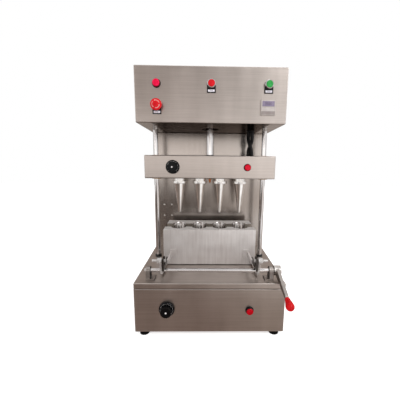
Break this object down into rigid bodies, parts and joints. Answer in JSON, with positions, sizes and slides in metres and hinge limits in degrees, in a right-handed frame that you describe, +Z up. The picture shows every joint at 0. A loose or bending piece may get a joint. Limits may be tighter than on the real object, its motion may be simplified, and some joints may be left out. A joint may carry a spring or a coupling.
{
  "type": "waffle cone maker",
  "caption": "Bench-top cone press in sheet steel: heated punches on a guided crosshead drop into a split mould that a side lever opens and closes.",
  "frame": {"origin": "middle of the whole machine's footprint box, on the table surface under the feet", "axes": "+Z up, -Y towards the operator (front panels and lever), +X to the operator's right"},
  "size_m": [0.52, 0.6084, 0.917],
  "materials": {
    "satin_stainless": "brushed",
    "bright_steel": "polished",
    "machined_aluminium": "machined",
    "cast_alloy": "cast",
    "black_steel": "blackened",
    "black_plastic": "satin",
    "red_lens": "gloss",
    "red_plastic": "gloss",
    "green_plastic": "gloss",
    "bronze": "turned",
    "copper": "drawn",
    "black_sleeve": "matt",
    "foot_rubber": "matt",
    "timer_grey": "satin",
    "timer_lcd": "gloss",
    "timer_keys": "satin"
  },
  "bodies": {
    "frame": {"base_housing": "satin_stainless", "base_top_plate": "satin_stainless", "base_bottom_plate": "satin_stainless", "rubber_feet": "foot_rubber", "back_column": "satin_stainless", "column_rear_cover": "satin_stainless", "head_housing": "satin_stainless", "head_bottom_plate": "satin_stainless", "head_rear_cover": "satin_stainless", "guide_rods": "bright_steel", "rod_foot_collars": "black_steel", "actuator_beam": "satin_stainless", "actuator_drive": "cast_alloy", "actuator_tube": "machined_aluminium", "actuator_nose_bush": "black_plastic", "lamp_bezels": "black_plastic", "lamp_lenses": "red_lens", "button_bezels": "bright_steel", "emergency_collar": "black_plastic", "legend_plates": "black_plastic", "timer_case": "timer_grey", "timer_display": "timer_lcd", "timer_keypad": "timer_keys", "lower_thermostat": "bright_steel", "cable_glands": "black_plastic", "power_leads": "black_sleeve", "mould_rear_half": "machined_aluminium", "rear_heaters": "bright_steel", "mould_guide_rods": "bright_steel", "slide_rod_supports": "satin_stainless", "shaft_brackets": "satin_stainless"},
    "crosshead": {"crosshead_housing": "satin_stainless", "punch_plate": "machined_aluminium", "guide_bushings": "bronze", "punch_1": "bright_steel", "punch_2": "bright_steel", "punch_3": "bright_steel", "punch_4": "bright_steel", "punch_nuts": "bright_steel", "upper_thermostat": "bright_steel", "crosshead_lamp_bezel": "black_plastic", "crosshead_lamp_lens": "red_lens", "sensor_probe": "copper", "actuator_ram": "bright_steel", "crosshead_gland": "black_plastic"},
    "front_mould": {"mould_front_half": "machined_aluminium", "slide_bushings": "bronze", "front_heaters": "bright_steel", "drag_bars": "satin_stainless", "fork_plates": "black_steel"},
    "lever": {"lever_shaft": "bright_steel", "crank_arms": "bright_steel", "crank_studs": "bright_steel", "lever_arm": "bright_steel", "lever_grip": "red_plastic"},
    "stop_button": {"stop_cap": "red_plastic"},
    "start_button": {"start_cap": "green_plastic"},
    "emergency_stop": {"emergency_mushroom": "red_plastic"},
    "upper_dial": {"upper_knob": "black_plastic"},
    "lower_dial": {"lower_knob": "black_plastic"}
  },
  "joints": [
    {"name": "crosshead_slide", "type": "slide", "parent": "frame", "child": "crosshead", "axis": [0, 0, 1], "range_m": [-0.174, 0], "deforming": ["power_leads"]},
    {"name": "lever_turn", "type": "hinge", "parent": "frame", "child": "lever", "pos_m": [0, -0.14183, 0.2235], "axis": [-1, 0, 0], "range_deg": [0, 70]},
    {"name": "mould_slide", "type": "slide", "parent": "frame", "child": "front_mould", "axis": [0, 1, 0], "range_m": [0, 0.05428]},
    {"name": "stop_press", "type": "slide", "parent": "frame", "child": "stop_button", "axis": [0, 1, 0], "range_m": [0, 0.004], "stiffness_N_per_m": 500},
    {"name": "start_press", "type": "slide", "parent": "frame", "child": "start_button", "axis": [0, 1, 0], "range_m": [0, 0.004], "stiffness_N_per_m": 500},
    {"name": "emergency_press", "type": "slide", "parent": "frame", "child": "emergency_stop", "axis": [0, 1, 0], "range_m": [0, 0.005]},
    {"name": "upper_dial_turn", "type": "hinge", "parent": "crosshead", "child": "upper_dial", "pos_m": [-0.148, 0.02317, 0.5815], "axis": [0, 1, 0], "range_deg": [0, 270]},
    {"name": "lower_dial_turn", "type": "hinge", "parent": "frame", "child": "lower_dial", "pos_m": [-0.148, -0.18183, 0.1], "axis": [0, 1, 0], "range_deg": [0, 270]}
  ],
  "couplings": [
    {"joint": "mould_slide", "follows": "lever_turn", "m_per_rad": 0.044385}
  ]
}
